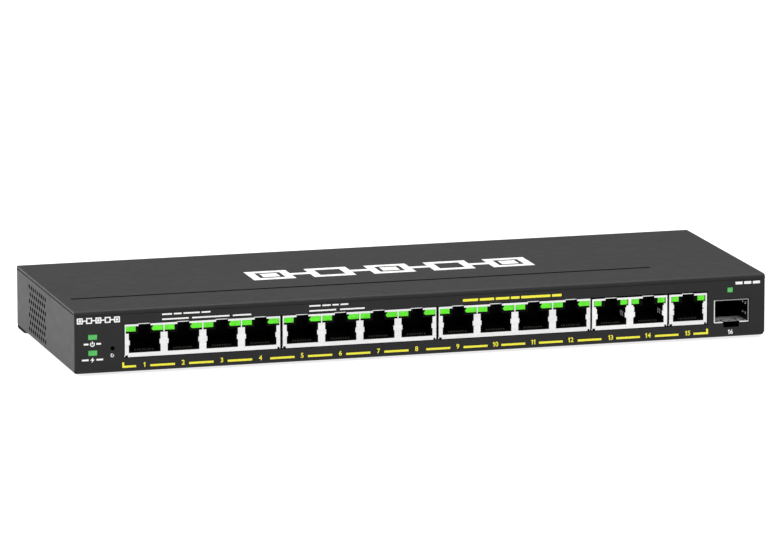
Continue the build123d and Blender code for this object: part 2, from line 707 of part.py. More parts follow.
# ================================================================ optical slot
def make_sfp_cage():
    """Folded cage of the optical slot, open at the front, with a gap in its floor for the latch tab."""
    half = CAGE_WIDTH / 2
    inner = half - CAGE_WALL
    tab_half = LATCH_TAB_WIDTH / 2 + LATCH_TAB_GAP
    floor_z = (BOARD_TOP - CAGE_WALL, BOARD_TOP + 2 * CAGE_WALL)
    with BuildPart() as cage:
        slab((CAGE_X - half, CAGE_X + half), (FRONT, CAGE_REAR), (BOARD_TOP, CAGE_TOP))
        fillet(cage.edges().filter_by(Axis.Y), CAGE_FOLD)
        slab(
            (CAGE_X - inner, CAGE_X + inner),
            (FRONT, CAGE_REAR - CAGE_WALL),
            (BOARD_TOP + CAGE_WALL, CAGE_TOP - CAGE_WALL),
            Mode.SUBTRACT,
        )
        # gap for the latch tab, and an open floor round the connector
        tab_y = (FRONT, LATCH_TAB_ROOT + TAB_END_GAP)
        slab((CAGE_X - tab_half, CAGE_X + tab_half), tab_y, floor_z, Mode.SUBTRACT)
        half = CONNECTOR_WIDTH / 2 + CONNECTOR_GAP
        connector_y = (CONNECTOR_FRONT - CONNECTOR_GAP, CONNECTOR_REAR + CONNECTOR_GAP)
        slab((CAGE_X - half, CAGE_X + half), connector_y, floor_z, Mode.SUBTRACT)
        # oval holes in the floor beside the tab, and rows of round holes in the roof
        with BuildSketch(Plane.XY.offset(floor_z[0])):
            with Locations((CAGE_X - OVAL_X, OVAL_Y), (CAGE_X + OVAL_X, OVAL_Y)):
                SlotOverall(OVAL_LENGTH, OVAL_WIDTH, rotation=90)
        extrude(amount=3 * CAGE_WALL, mode=Mode.SUBTRACT)
        with BuildSketch(Plane.XY.offset(CAGE_TOP - 2 * CAGE_WALL)):
            with Locations((CAGE_X, ROOF_HOLES_Y)):
                with GridLocations(ROOF_HOLE_PITCH, ROOF_HOLE_PITCH, *ROOF_HOLE_GRID):
                    Circle(ROOF_HOLE_RADIUS)
        extrude(amount=3 * CAGE_WALL, mode=Mode.SUBTRACT)
        # dimples that steady a module, on both side walls
        for side in (-1, 1):
            wall = CAGE_X + side * inner
            for depth in DIMPLE_DEPTHS:
                for z in DIMPLE_HEIGHTS:
                    slab(
                        sorted((wall, wall - side * DIMPLE_RISE)),
                        (FRONT + depth, FRONT + depth + DIMPLE_SIZE),
                        (z, z + DIMPLE_SIZE),
                    )
    save(cage, "sfp_cage")


def make_sfp_latch_tab():
    """Spring tongue in the cage floor that a module's latch post pushes down."""
    across = (CAGE_X - LATCH_TAB_WIDTH / 2, CAGE_X + LATCH_TAB_WIDTH / 2)
    front = FRONT + TAB_FACE_INSET
    low = BOARD_TOP + TAB_RISE
    high = low + LATCH_TAB
    with BuildPart() as tab:
        slab(across, (front, LATCH_TAB_ROOT), (low, high))
        slab(across, (front, front + LATCH_TAB), (LATCH_TAB_BOTTOM, high))
        # three-cornered catch hole for the module's post
        with BuildSketch(Plane.XY.offset(low)):
            with Locations((CAGE_X, FRONT + CATCH_Y)):
                RegularPolygon(CATCH_RADIUS, 3, rotation=30)
        extrude(amount=LATCH_TAB, mode=Mode.SUBTRACT)
    save(tab, "sfp_latch_tab")


def make_sfp_connector():
    """Edge connector on the board, at the back of the cage."""
    half = CONNECTOR_WIDTH / 2
    mouth = half - CONNECTOR_WALL
    mouth_y = (CONNECTOR_FRONT, CONNECTOR_REAR - CONNECTOR_BACK)
    with BuildPart() as connector:
        slab(
            (CAGE_X - half, CAGE_X + half),
            (CONNECTOR_FRONT, CONNECTOR_REAR),
            (BOARD_TOP, BOARD_TOP + CONNECTOR_HEIGHT),
        )
        slab((CAGE_X - mouth, CAGE_X + mouth), mouth_y, CONNECTOR_MOUTH, Mode.SUBTRACT)
    save(connector, "sfp_connector")


# ================================================================ lights and reset
def make_status_light_pipes():
    """Two bent light guides between the front panel and the lamps on the board."""
    across = (STATUS_X - STATUS_WIDTH / 2, STATUS_X + STATUS_WIDTH / 2)
    for name, z, lamp_y in (("power", POWER_Z, POWER_LAMP_Y), ("poe", POE_Z, POE_LAMP_Y)):
        back = lamp_y + PIPE_LEG / 2
        with BuildPart() as pipe:
            slab(across, (FRONT, back), (z - STATUS_HEIGHT / 2, z + STATUS_HEIGHT / 2))
            slab(across, (back - PIPE_LEG, back), (PIPE_FOOT, z))
            outer_bend = pipe.edges().filter_by(Axis.X).group_by(Axis.Y)[-1].sort_by(Axis.Z)[-1]
            chamfer(outer_bend, PIPE_BEND)
        save(pipe, f"{name}_light_pipe")


def make_slot_light_pipe():
    """Light guide that runs beside the cage to the panel window above the optical slot."""
    left = SLOT_LIGHT_X - SLOT_LIGHT_WIDTH / 2
    back = SLOT_LAMP_Y + PIPE_LEG / 2
    leg = (SLOT_LAMP_X - PIPE_LEG / 2, SLOT_LAMP_X + PIPE_LEG / 2)
    z_range = (SLOT_LIGHT_Z - SLOT_LIGHT_HEIGHT / 2, SLOT_LIGHT_Z + SLOT_LIGHT_HEIGHT / 2)
    with BuildPart() as pipe:
        slab((left, left + SLOT_LIGHT_WIDTH), (FRONT, back), z_range)
        slab((left, leg[1]), (back - PIPE_LEG, back), z_range)
        slab(leg, (back - PIPE_LEG, back), (PIPE_FOOT, z_range[1]))
    save(pipe, "sfp_light_pipe")


def make_led_chips():
    """Lamps on the board, one under the foot of each light guide."""
    with BuildPart() as chips:
        with BuildSketch(Plane.XY.offset(BOARD_TOP)):
            with Locations(
                (STATUS_X, POWER_LAMP_Y), (STATUS_X, POE_LAMP_Y), (SLOT_LAMP_X, SLOT_LAMP_Y)
            ):
                Rectangle(*LED_CHIP_SIZE)
        extrude(amount=LED_CHIP_HEIGHT)
    save(chips, "status_led_chips")


def make_reset_switch():
    """Side-acting push switch behind the reset pinhole, and its plunger."""
    with BuildPart() as body:
        slab(
            (RESET_X - RESET_BODY_WIDTH / 2, RESET_X + RESET_BODY_WIDTH / 2),
            (RESET_BODY_FRONT, RESET_BODY_FRONT + RESET_BODY_DEPTH),
            (BOARD_TOP, RESET_Z + RESET_BODY_WIDTH / 2),
        )
        with BuildSketch(Plane.XZ.offset(-RESET_BODY_FRONT)):
            with Locations((RESET_X, RESET_Z)):
                Circle(PLUNGER_RADIUS + PLUNGER_CLEARANCE)
        extrude(amount=-RESET_BORE_DEPTH, mode=Mode.SUBTRACT)
    save(body, "reset_switch_body")
    with BuildPart() as plunger:
        with BuildSketch(Plane.XZ.offset(-PLUNGER_FRONT)):
            with Locations((RESET_X, RESET_Z)):
                Circle(PLUNGER_RADIUS)
        plunger_end = RESET_BODY_FRONT + RESET_BORE_DEPTH - PLUNGER_ROOM
        extrude(amount=PLUNGER_FRONT - plunger_end)
        fillet(plunger.faces().sort_by(Axis.Y)[0].edges(), PLUNGER_EDGE)
    save(plunger, "reset_plunger")


# ================================================================ electronics
def make_chips(name, places, size, height):
    """Flat square packages of one kind on the board, with bevelled top edges."""
    with BuildPart() as package:
        with BuildSketch(Plane.XY.offset(BOARD_TOP)):
            with Locations(*places):
                Rectangle(size, size)
        extrude(amount=height)
        chamfer(package.faces().filter_by(Axis.Z).group_by(Axis.Z)[-1].edges(), height / 4)
    save(package, name)


def make_heatsinks(name, places, size, height, fins):
    """Extruded heat sinks of one kind: a plate with upright fins along Y."""
    foot = BOARD_TOP + CHIP_HEIGHT + THERMAL_PAD
    step = (size - FIN) / (fins - 1)
    with BuildPart() as sink:
        for x, y in places:
            along = (y - size / 2, y + size / 2)
            slab((x - size / 2, x + size / 2), along, (foot, foot + SINK_PLATE))
            for index in range(fins):
                start = x - size / 2 + index * step
                slab((start, start + FIN), along, (foot, foot + height))
    save(sink, name)


def make_electronics():
    """The larger parts that a sixteen-port powered switch carries on its board."""
    make_chips("switch_chip", SWITCH_AT, 24.0, CHIP_HEIGHT)
    make_chips("phy_chips", PHY_AT, 18.0, CHIP_HEIGHT)
    make_chips("poe_controllers", CONTROLLERS_AT, 9.0, 0.9)
    make_chips("flash_chip", FLASH_AT, 5.3, 1.5)
    with BuildPart() as pads:
        with BuildSketch(Plane.XY.offset(BOARD_TOP + CHIP_HEIGHT)):
            with Locations(*SWITCH_AT, *PHY_AT):
                Rectangle(PAD_SIZE, PAD_SIZE)
        extrude(amount=THERMAL_PAD)
    save(pads, "thermal_pads")
    make_heatsinks("switch_heatsink", SWITCH_AT, 30.0, 11.0, 8)
    make_heatsinks("phy_heatsinks", PHY_AT, 22.0, 9.0, 6)
    with BuildPart() as crystal:
        with BuildSketch(Plane.XY.offset(BOARD_TOP)):
            with Locations(CRYSTAL_AT):
                SlotOverall(*CRYSTAL_SIZE)
        extrude(amount=CRYSTAL_HEIGHT)
        fillet(crystal.faces().sort_by(Axis.Z)[-1].edges(), CRYSTAL_EDGE)
    save(crystal, "crystal")
    with BuildPart() as capacitors:
        with BuildSketch(Plane.XY.offset(BOARD_TOP)):
            with Locations(*CAPACITORS_AT):
                Circle(CAPACITOR_RADIUS)
        extrude(amount=CAPACITOR_HEIGHT)
        fillet(capacitors.faces().filter_by(Axis.Z).group_by(Axis.Z)[-1].edges(), CAPACITOR_EDGE)
    save(capacitors, "bulk_capacitors")
    with BuildPart() as inductor:
        with BuildSketch(Plane.XY.offset(BOARD_TOP)):
            with Locations(INDUCTOR_AT):
                RectangleRounded(INDUCTOR_SIZE, INDUCTOR_SIZE, INDUCTOR_CORNER)
        extrude(amount=INDUCTOR_HEIGHT)
        chamfer(inductor.faces().sort_by(Axis.Z)[-1].edges(), INDUCTOR_CHAMFER)
    save(inductor, "power_inductor")
    with BuildPart() as fuse:
        with BuildSketch(Plane.XY.offset(BOARD_TOP)):
            with Locations(FUSE_AT):
                Rectangle(*FUSE_SIZE)
        extrude(amount=FUSE_HEIGHT)
    save(fuse, "input_fuse")


def make_power_jack():
    """Barrel inlet at the rear: moulding, centre pin and side spring."""
    axis_xz = (POWER_X, POWER_JACK_Z)
    half = POWER_BOX_WIDTH / 2
    with BuildPart() as housing:
        slab(
            (POWER_X - half, POWER_X + half),
            (REAR - POWER_LENGTH, POWER_BOX_END),
            (BOARD_TOP, BOARD_TOP + POWER_BOX_HEIGHT),
        )
        with BuildSketch(Plane.XZ.offset(-POWER_BOX_END)):
            with Locations(axis_xz):
                Circle(POWER_NOSE_RADIUS)
        extrude(amount=POWER_BOX_END - REAR)
        with BuildSketch(Plane.XZ.offset(-REAR)):
            with Locations(axis_xz):
                Circle(SOCKET_RADIUS)
        extrude(amount=SOCKET_DEPTH, mode=Mode.SUBTRACT)
        # slot for the side spring, from the outside of the moulding into the socket
        slab(
            (POWER_X - half, POWER_X - SOCKET_RADIUS + SPRING_SLOT_REACH),
            (SPRING_Y[0] - SPRING_GAP, SPRING_Y[1] + SPRING_GAP),
            (
                POWER_JACK_Z - SPRING_WIDTH / 2 - SPRING_GAP,
                POWER_JACK_Z + SPRING_WIDTH / 2 + SPRING_GAP,
            ),
            Mode.SUBTRACT,
        )
    save(housing, "dc_jack_housing")
    with BuildPart() as pin:
        with BuildSketch(Plane.XZ.offset(-REAR + SOCKET_DEPTH)):
            with Locations(axis_xz):
                Circle(POWER_PIN_RADIUS)
        extrude(amount=POWER_PIN_SETBACK - SOCKET_DEPTH)
        fillet(pin.faces().sort_by(Axis.Y)[-1].edges(), POWER_PIN_NOSE)
    save(pin, "dc_jack_pin")
    spring_x = POWER_X - half + SPRING_GAP
    with BuildPart() as spring:
        slab(
            (spring_x, spring_x + SPRING),
            SPRING_Y,
            (POWER_JACK_Z - SPRING_WIDTH / 2, POWER_JACK_Z + SPRING_WIDTH / 2),
        )
    save(spring, "dc_jack_spring")


make_base_chassis()
make_top_cover()
make_cover_screws()
make_feet()
make_main_board()
make_insulator_sheet()
make_board_fixings()
for jack_block in BLOCKS:
    make_jack_shield(jack_block)
    make_jack_housing(jack_block)
    make_jack_lights(jack_block)
    make_jack_contacts(jack_block)
    make_jack_magnetics(jack_block)
make_sfp_cage()
make_sfp_latch_tab()
make_sfp_connector()
make_status_light_pipes()
make_slot_light_pipe()
make_led_chips()
make_reset_switch()
make_electronics()
make_power_jack()
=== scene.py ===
"""Looks of the desktop switch: finishes, printed marks, floor, lights and camera.

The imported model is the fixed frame, in metres, with the jacks facing -Y. Printed marks are
measured in millimetres from the left end and the underside of the chassis.
"""

import json
import math

import bmesh
import bpy
from mathutils import Matrix, Vector


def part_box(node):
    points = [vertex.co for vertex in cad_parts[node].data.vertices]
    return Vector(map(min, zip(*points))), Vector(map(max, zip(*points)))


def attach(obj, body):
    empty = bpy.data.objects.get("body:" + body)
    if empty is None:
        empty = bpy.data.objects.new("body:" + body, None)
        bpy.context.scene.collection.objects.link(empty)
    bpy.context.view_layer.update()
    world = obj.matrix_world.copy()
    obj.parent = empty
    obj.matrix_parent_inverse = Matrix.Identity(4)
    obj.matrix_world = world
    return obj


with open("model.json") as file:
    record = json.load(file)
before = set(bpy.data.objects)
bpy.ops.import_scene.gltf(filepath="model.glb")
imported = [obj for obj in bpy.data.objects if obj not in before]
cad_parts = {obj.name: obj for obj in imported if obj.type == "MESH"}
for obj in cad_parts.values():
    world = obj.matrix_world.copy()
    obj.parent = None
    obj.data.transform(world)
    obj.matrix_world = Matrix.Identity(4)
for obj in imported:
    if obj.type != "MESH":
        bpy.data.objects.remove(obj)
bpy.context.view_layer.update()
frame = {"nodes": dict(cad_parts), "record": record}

MM = 0.001
NODES = frame["nodes"]
CHASSIS_LOW, CHASSIS_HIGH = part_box("base_chassis")
COVER_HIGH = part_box("top_cover")[1]
CAGE_LOW, CAGE_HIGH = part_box("sfp_cage")
# the copper jacks in each block, and the width of one in mm
BLOCK_PORTS = {"1_4": 4, "5_8": 4, "9_12": 4, "13_14": 2, "15": 1}
PORT_PITCH = 15.76
# the stretch of both side walls that holds the vents
VENT_LOW_Y, VENT_HIGH_Y = -0.005, 0.032
VENT_LOW_Z, VENT_HIGH_Z = 0.0025, 0.0225
# focal length in mm, place, and the way the camera looks
CAMERA_LENS = 313.6
CAMERA_PLACE = (-0.7414, -2.5945, 0.5508)
CAMERA_AIM = (0.2697, 0.9439, -0.1907)


# ================================================================ finishes
class Finish:
    """A Principled material, with short calls that add its nodes and join them."""

    def __init__(self, name, **numbers):
        self.material = bpy.data.materials.new(name)
        self.material.use_nodes = True
        self.tree = self.material.node_tree
        self.shader = self.tree.nodes["Principled BSDF"]
        self.place = self.add("ShaderNodeTexCoord").outputs["Object"]
        for socket, number in numbers.items():
            self.shader.inputs[socket.replace("_", " ")].default_value = number

    def add(self, kind):
        return self.tree.nodes.new(kind)

    def join(self, output, node, socket):
        self.tree.links.new(output, node.inputs[socket])

    def noise(self, size, detail=3.0, stretch=(1.0, 1.0, 1.0)):
        """A random value from 0 to 1, in blotches about size metres across, drawn out by stretch."""
        mapping = self.add("ShaderNodeMapping")
        mapping.inputs["Scale"].default_value = [1.0 / (size * along) for along in stretch]
        self.join(self.place, mapping, "Vector")
        noise = self.add("ShaderNodeTexNoise")
        noise.inputs["Scale"].default_value = 1.0
        noise.inputs["Detail"].default_value = detail
        self.join(mapping.outputs["Vector"], noise, "Vector")
        return noise.outputs["Fac"]

    def colour(self, value, dark, light):
        """Base colour from dark to light as value goes from 0.3 to 0.7."""
        ramp = self.add("ShaderNodeValToRGB")
        for stop, at, shade in zip(ramp.color_ramp.elements, (0.3, 0.7), (dark, light)):
            stop.position = at
            stop.color = (*shade, 1.0)
        self.join(value, ramp, "Fac")
        self.join(ramp.outputs["Color"], self.shader, "Base Color")
        return ramp.outputs["Color"]

    def roughness(self, value, low, high):
        """Roughness from low to high as value goes from 0.3 to 0.7."""
        spread = self.add("ShaderNodeMapRange")
        for socket, number in zip(("From Min", "From Max", "To Min", "To Max"), (0.3, 0.7, low, high)):
            spread.inputs[socket].default_value = number
        self.join(value, spread, "Value")
        self.join(spread.outputs["Result"], self.shader, "Roughness")

    def inside(self, low, high):
        """1 inside the box from low to high, in metres, and 0 outside it."""
        low, high = Vector(low), Vector(high)
        value = self.place
        steps = (("SUBTRACT", (low + high) / 2), ("ABSOLUTE", None), ("SUBTRACT", (high - low) / 2))
        for operation, other in steps:
            step = self.add("ShaderNodeVectorMath")
            step.operation = operation
            self.tree.links.new(value, step.inputs[0])
            if other is not None:
                step.inputs[1].default_value = other
            value = step.outputs["Vector"]
        split = self.add("ShaderNodeSeparateXYZ")
        self.join(value, split, "Vector")
        farthest = self.math("MAXIMUM", split.outputs["X"], split.outputs["Y"])
        farthest = self.math("MAXIMUM", farthest, split.outputs["Z"])
        return self.math("LESS_THAN", farthest, 0.0)

    def math(self, operation, first, second):
        """One Math node. Each input is a socket or a number."""
        node = self.add("ShaderNodeMath")
        node.operation = operation
        for socket, value in zip(node.inputs, (first, second)):
            if isinstance(value, (int, float)):
                socket.default_value = value
            else:
                self.tree.links.new(value, socket)
        return node.outputs["Value"]

    def shade_over(self, value, shade):
        """Turns the base colour to shade, a colour, where value is 1."""
        base = self.shader.inputs["Base Color"].links[0].from_socket
        mix = self.add("ShaderNodeMix")
        mix.data_type = "RGBA"
        self.tree.links.new(value, mix.inputs[0])
        self.tree.links.new(base, mix.inputs[6])
        mix.inputs[7].default_value = (*shade, 1.0)
        self.join(mix.outputs[2], self.shader, "Base Color")

    def metallic(self, value):
        """Metal where value is 1, and not where it is 0."""
        self.join(value, self.shader, "Metallic")

    def bump(self, value, height):
        """Relief of that height in metres. A second call adds finer relief to the first."""
        bump = self.add("ShaderNodeBump")
        bump.inputs["Distance"].default_value = height
        self.join(value, bump, "Height")
        normal = self.shader.inputs["Normal"]
        if normal.is_linked:
            self.join(normal.links[0].from_socket, bump, "Normal")
        self.join(bump.outputs["Normal"], self.shader, "Normal")


def powder_coat():
    """Charcoal paint with a fine orange-peel skin, a painted highlight along the start of the cover's
    front bend, and painted shade: black inside the cut-outs and the vents.
    """
    made = Finish("powder_coat", Specular_IOR_Level=0.2)
    made.colour(made.noise(0.030), (0.0155, 0.0155, 0.016), (0.0175, 0.0175, 0.018))
    made.roughness(made.noise(0.004), 0.47, 0.53)
    made.bump(made.noise(0.0006, detail=1.0), 0.000005)
    made.bump(made.noise(0.00022, detail=2.0), 0.000002)
    skin, edge = 0.02 * MM, 1.3 * MM
    # painted highlight: a lighter band of paint for the line of light where the cover's front bend starts
    highlight_front, highlight_back, highlight_drop = 0.5 * MM, 1.4 * MM, 1.0 * MM
    low = (CHASSIS_LOW.x, CHASSIS_LOW.y + highlight_front, COVER_HIGH.z - highlight_drop)
    high = (CHASSIS_HIGH.x, CHASSIS_LOW.y + highlight_back, COVER_HIGH.z + skin)
    made.shade_over(made.inside(low, high), (0.038, 0.038, 0.0387))
    # from just behind the front's outer face to behind the wall, below the cover's lip: painted shade on
    # the insides of the front's cut-outs
    wall, lip = 2 * MM, 2.2 * MM
    low = (CHASSIS_LOW.x + edge, CHASSIS_LOW.y + skin, CHASSIS_LOW.z + edge)
    high = (CHASSIS_HIGH.x - edge, CHASSIS_LOW.y + wall, COVER_HIGH.z - lip)
    front_cut_shade = made.inside(low, high)
    # everything between the outer faces of the two side walls, along their vents: painted shade on the
    # insides of the vent holes
    low = (CHASSIS_LOW.x + skin, VENT_LOW_Y, VENT_LOW_Z)
    high = (CHASSIS_HIGH.x - skin, VENT_HIGH_Y, VENT_HIGH_Z)
    cut_and_vent_shade = made.math("MAXIMUM", front_cut_shade, made.inside(low, high))
    # painted shade: these insides are black and metallic
    made.shade_over(cut_and_vent_shade, (0.0, 0.0, 0.0))
    made.metallic(cut_and_vent_shade)
    return made.material


def satin(name, dark, light, smooth, rough):
    """Plain tin plate or spring steel, not yet metallic, from dark to light and smooth to rough."""
    made = Finish(name)
    made.colour(made.noise(0.003), dark, light)
    made.roughness(made.noise(0.0012), smooth, rough)
    made.bump(made.noise(0.0004, detail=2.0), 0.000003)
    return made


def slot_metal():
    """Tin plate of the optical slot with painted shade: near black up its inner walls and grey along the
    top and right edges of its rim. Its mouth, floor and dimples stay pale, and the floor is not metallic.
    """
    made = satin("slot_tin", (0.72, 0.72, 0.71), (0.80, 0.80, 0.79), 0.42, 0.58)
    wall, rim, reach = 0.5 * MM, 0.1 * MM, 11.0 * MM
    around = Vector((MM, MM, MM))
    low = (CAGE_LOW.x + wall, CAGE_LOW.y - MM, CAGE_LOW.z - MM)
    high = (CAGE_HIGH.x - wall, CAGE_LOW.y + reach, CAGE_HIGH.z - wall)
    floor = made.inside(low, high)
    mouth = made.inside(CAGE_LOW - around, (CAGE_HIGH.x + MM, CAGE_LOW.y + rim, CAGE_HIGH.z + MM))
    spared_from_shade = made.math("MAXIMUM", floor, mouth)
    # painted shade: near black everywhere but the mouth, floor and dimples
    made.shade_over(made.math("SUBTRACT", 1.0, spared_from_shade), (0.02, 0.02, 0.02))
    # painted shade: grey on the top and right edges of the rim
    top_edge_shade = made.inside(
        (CAGE_LOW.x + wall, CAGE_LOW.y - MM, CAGE_HIGH.z - wall),
        (CAGE_HIGH.x + MM, CAGE_LOW.y + rim, CAGE_HIGH.z + MM),
    )
    right_edge_shade = made.inside(
        (CAGE_HIGH.x - wall, CAGE_LOW.y - MM, CAGE_LOW.z + wall),
        (CAGE_HIGH.x + MM, CAGE_LOW.y + rim, CAGE_HIGH.z + MM),
    )
    made.shade_over(made.math("MAXIMUM", top_edge_shade, right_edge_shade), (0.30, 0.30, 0.30))
    # the floor and dimples are not metallic, so they show pale under the lamps
    made.metallic(made.math("SUBTRACT", 1.0, floor))
    return made.material


def finger_metal():
    """Tin plate of the shield with spring fingers, with painted light: the finger tips behind the window
    are set not metallic, so they show pale instead of dark.
    """
    made = satin("finger_tin", (0.70, 0.70, 0.70), (0.76, 0.76, 0.75), 0.24, 0.32)
    low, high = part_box("jack_shield_13_14")
    tip_start, tip_end = 2.6 * MM, 6.6 * MM
    painted_light_tips = made.inside(
        (low.x + MM, low.y + tip_start, low.z + 3 * MM),
        (high.x - MM, low.y + tip_end, high.z - 4 * MM),
    )
    # painted light: the tips are not metallic, so they show pale
    made.metallic(made.math("SUBTRACT", 1.0, painted_light_tips))
    return made.material


def latch_metal():
    """Spring steel of the latch tab, with painted shade: its leg below the slot's floor and its bent
    front end are black.
    """
    made = satin("latch_steel", (0.62, 0.62, 0.61), (0.70, 0.70, 0.69), 0.42, 0.58)
    low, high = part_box("sfp_latch_tab")
    around = Vector((MM, MM, MM))
    below = made.inside(low - around, (high.x + MM, high.y + MM, high.z - 0.1 * MM))
    bend = made.inside(low - around, (high.x + MM, low.y + 0.7 * MM, high.z + MM))
    shaded_leg = made.math("MAXIMUM", below, bend)
    # painted shade: the leg and the bent front end turn black and metallic
    made.shade_over(shaded_leg, (0.0, 0.0, 0.0))
    made.metallic(shaded_leg)
    return made.material


def metal(name, shade, rough, grain=(1.0, 1.0, 1.0), tint=(1.0, 1.0, 1.0)):
    """Plated or rolled metal: faint clouding, and rolling marks drawn out along grain."""
    made = Finish(name, Metallic=1.0)
    dark = [0.93 * shade * part for part in tint]
    light = [shade * part for part in tint]
    made.colour(made.noise(0.003, stretch=grain), dark, light)
    made.roughness(made.noise(0.0012, stretch=grain), rough * 0.8, rough * 1.25)
    made.bump(made.noise(0.0004, detail=2.0, stretch=grain), 0.000003)
    return made.material


def moulding(name, shade, rough=0.5, texture=0.000006, gloss=0.4):
    """Moulded plastic, rubber or ceramic with a fine eroded texture."""
    made = Finish(name, Specular_IOR_Level=gloss)
    made.colour(made.noise(0.006), [0.85 * part for part in shade], shade)
    made.roughness(made.noise(0.0015), rough - 0.06, rough + 0.06)
    made.bump(made.noise(0.00025, detail=2.0), texture)
    return made.material


def light_guide(name, shade, glow):
    """Clear tinted plastic with a lamp behind it, a little uneven in brightness."""
    made = Finish(name, Roughness=0.22, Specular_IOR_Level=0.25, Coat_Weight=0.05, Emission_Strength=glow)
    made.shader.inputs["Coat Roughness"].default_value = 0.12
    dark = [0.8 * part for part in shade]
    tint = made.colour(made.noise(0.0016, detail=1.0), dark, shade)
    made.join(tint, made.shader, "Emission Color")
    made.bump(made.noise(0.0004, detail=1.0), 0.000006)
    return made.material


def ink(name, shade):
    """Screen-printed ink, very slightly uneven."""
    made = Finish(name, Specular_IOR_Level=0.3)
    made.colour(made.noise(0.0008), [0.94 * part for part in shade], shade)
    made.roughness(made.noise(0.0005), 0.42, 0.55)
    made.bump(made.noise(0.00015, detail=1.0), 0.000003)
    return made.material


def board():
    """Solder mask with a faint weave of the laminate under it."""
    made = Finish("solder_mask", Specular_IOR_Level=0.5)
    made.colour(made.noise(0.0012, stretch=(6.0, 1.0, 1.0)), (0.008, 0.045, 0.02), (0.012, 0.07, 0.03))
    made.roughness(made.noise(0.004), 0.28, 0.4)
    made.bump(made.noise(0.0005, detail=1.0), 0.000006)
    return made.material


MATERIALS = {
    "painted_steel": powder_coat(),
    "black_screw": metal("black_oxide", 0.06, 0.45),
    "zinc_screw": metal("zinc_plate", 0.62, 0.35),
    "circuit_board": board(),
    "insulator_film": moulding("insulator_film", (0.02, 0.02, 0.02), 0.4),
    "tin_plate": metal("bright_tin", 0.71, 0.28, grain=(8.0, 1.0, 1.0)),
    "tin_plate_dark": latch_metal(),
    "black_moulding": moulding("black_moulding", (0.0025, 0.0025, 0.0025), 0.6, gloss=0.05),
    # painted shade: the gold is made very dark, so the contacts inside the jacks show dim
    "gold_plate": metal("gold_flash_painted_shade", 0.055, 0.4, tint=(1.0, 0.93, 0.8)),
    "port_light": light_guide("port_light", (0.105, 0.74, 0.016), 0.2),
    "lit_guide": light_guide("status_light", (0.078, 0.44, 0.098), 0.2),
    "lamp_chip": moulding("lamp_chip", (0.75, 0.74, 0.62), 0.35),
    "chip_package": moulding("chip_package", (0.02, 0.02, 0.022), 0.55),
    "thermal_pad": moulding("thermal_pad", (0.42, 0.48, 0.58), 0.7, 0.00002),
    "heatsink": metal("anodised_aluminium", 0.42, 0.42, grain=(1.0, 8.0, 1.0)),
    "capacitor_can": metal("capacitor_can", 0.55, 0.3),
    "ferrite": moulding("ferrite", (0.05, 0.05, 0.052), 0.6, 0.00002),
    "ceramic_fuse": moulding("ceramic_fuse", (0.72, 0.69, 0.62), 0.25),
    "foot_rubber": moulding("foot_rubber", (0.004, 0.004, 0.004), 0.8, 0.00002, gloss=0.1),
}
WHITE_INK = ink("white_ink", (0.93, 0.93, 0.92))
YELLOW_INK = ink("yellow_ink", (0.95, 0.88, 0.05))


def dress_nodes():
    """Gives each CAD node the finish of its slot in the record."""
    slot_of = {part["node"]: part["material_slot"] for part in frame["record"]["subparts"]}
    for name, node in NODES.items():
        node.data.materials.clear()
        node.data.materials.append(MATERIALS[slot_of[name]])
    NODES["sfp_cage"].data.materials[0] = slot_metal()
    NODES["jack_shield_13_14"].data.materials[0] = finger_metal()


# ================================================================ softened edges
def soften(names, width):
    """Rounds the sharp edges of moulded and folded pieces by width, in metres."""
    for name in names:
        weld = NODES[name].modifiers.new("join_seams", "WELD")
        weld.merge_threshold = 0.001 * MM
        bevel = NODES[name].modifiers.new("round_edges", "BEVEL")
        bevel.width = width
        bevel.segments = 2
        bevel.limit_method = "ANGLE"
        bevel.angle_limit = math.radians(50)
        bevel.harden_normals = True


# ================================================================ printed marks
INK_HEIGHT = 0.03
INK_SINK = 0.02


def on_front(across, up):
    """Matrix from a mark's own plane, in mm, to the front panel."""
    corner = Vector((CHASSIS_LOW.x, CHASSIS_LOW.y, CHASSIS_LOW.z))
    place = corner + Vector((across * MM, 0.0, up * MM))
    return Matrix.Translation(place) @ Matrix.Rotation(math.pi / 2, 4, "X") @ Matrix.Scale(MM, 4)


def on_top(across, back):
    """Matrix from a mark's own plane, in mm, to the top of the cover."""
    corner = Vector((CHASSIS_LOW.x, CHASSIS_HIGH.y, COVER_HIGH.z))
    place = corner + Vector((across * MM, -back * MM, 0.0))
    return Matrix.Translation(place) @ Matrix.Scale(MM, 4)


def bar(left, bottom, right, top):
    """A rectangle, as an outline."""
    return [(left, bottom), (right, bottom), (right, top), (left, top)]


def arc(radius, width, start, end, steps=24, centre=(0.0, 0.0)):
    """A curved band, as an outline that runs out along its outer side and back along its inner one."""
    angles = [math.radians(start + (end - start) * step / steps) for step in range(steps + 1)]
    outer = [(math.cos(a) * (radius + width / 2), math.sin(a) * (radius + width / 2)) for a in angles]
    inner = [(math.cos(a) * (radius - width / 2), math.sin(a) * (radius - width / 2)) for a in angles]
    return [(x + centre[0], y + centre[1]) for x, y in outer + inner[::-1]]


def add_outline(mesh, outline, place):
    """Raises one flat outline into a thin closed slab on the surface."""
    low = [mesh.verts.new(place @ Vector((x, y, -INK_SINK))) for x, y in outline]
    high = [mesh.verts.new(place @ Vector((x, y, INK_HEIGHT))) for x, y in outline]
    mesh.faces.new(low[::-1])
    mesh.faces.new(high)
    for here in range(len(outline)):
        after = (here + 1) % len(outline)
        mesh.faces.new((low[here], low[after], high[after], high[here]))


